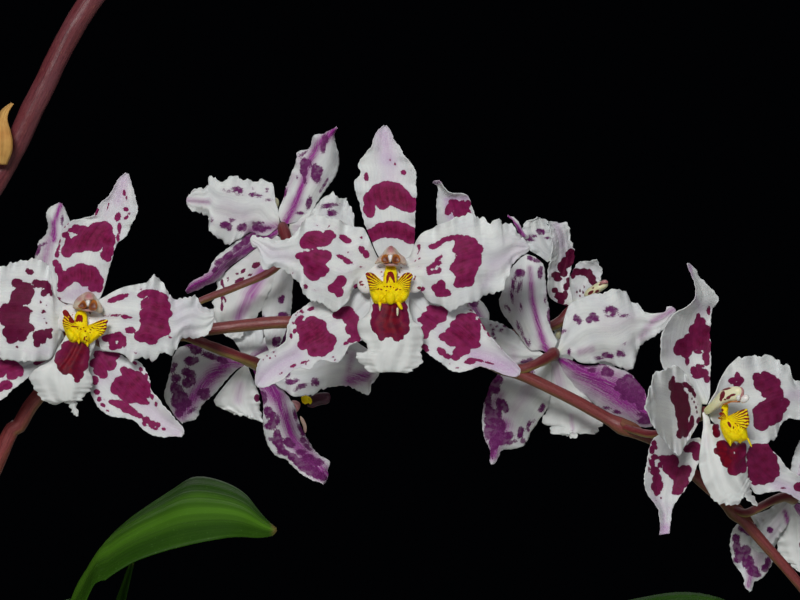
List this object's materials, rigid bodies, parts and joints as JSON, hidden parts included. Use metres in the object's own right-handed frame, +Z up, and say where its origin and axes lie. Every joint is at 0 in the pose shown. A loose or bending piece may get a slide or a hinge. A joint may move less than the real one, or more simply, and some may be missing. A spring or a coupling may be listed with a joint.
{
  "type": "potted oncidium orchid",
  "caption": "Potted oncidium orchid: terracotta pot of bark, pseudobulbs and strap leaves, and arching sprays of white flowers with dark purple-red blotches.",
  "frame": {"origin": "centre of the flat underside of the pot", "axes": "+Z up, +X the way both flower sprays arch, -Y the side the flowers are seen from in the picture"},
  "size_m": [0.5114, 0.2618, 0.6782],
  "materials": {
    "terracotta": "matte",
    "bark": "matte",
    "rhizome": "matte",
    "pseudobulb": "satin",
    "leaf": "satin",
    "spike": "satin",
    "tepal": "satin",
    "lip": "satin",
    "column": "satin"
  },
  "bodies": {
    "root": {"flower_0": "tepal", "flower_10": "tepal", "flower_11": "tepal", "flower_12": "tepal", "flower_13": "tepal", "flower_14": "tepal", "flower_15": "tepal", "flower_16": "tepal", "flower_1_column": "column", "flower_1_dorsal_sepal": "tepal", "flower_1_lateral_sepal_left": "tepal", "flower_1_lateral_sepal_right": "tepal", "flower_1_lip": "lip", "flower_1_petal_left": "tepal", "flower_1_petal_right": "tepal", "flower_2": "tepal", "flower_3_column": "column", "flower_3_dorsal_sepal": "tepal", "flower_3_lateral_sepal_left": "tepal", "flower_3_lateral_sepal_right": "tepal", "flower_3_lip": "lip", "flower_3_petal_left": "tepal", "flower_3_petal_right": "tepal", "flower_4": "tepal", "flower_5": "tepal", "flower_6": "tepal", "flower_7_column": "column", "flower_7_dorsal_sepal": "tepal", "flower_7_lateral_sepal_left": "tepal", "flower_7_lateral_sepal_right": "tepal", "flower_7_lip": "lip", "flower_7_petal_left": "tepal", "flower_7_petal_right": "tepal", "flower_8": "tepal", "flower_9": "tepal", "flower_spike_1": "spike", "flower_spike_2": "spike", "leaf_1": "leaf", "leaf_10": "leaf", "leaf_2": "leaf", "leaf_3": "leaf", "leaf_4": "leaf", "leaf_5": "leaf", "leaf_6": "leaf", "leaf_7": "leaf", "leaf_8": "leaf", "leaf_9": "leaf", "pot": "terracotta", "potting_bark": "bark", "pseudobulb_1": "pseudobulb", "pseudobulb_2": "pseudobulb", "pseudobulb_3": "pseudobulb", "pseudobulb_4": "pseudobulb", "pseudobulb_5": "pseudobulb", "rhizome_and_roots": "rhizome"}
  },
  "joints": []
}
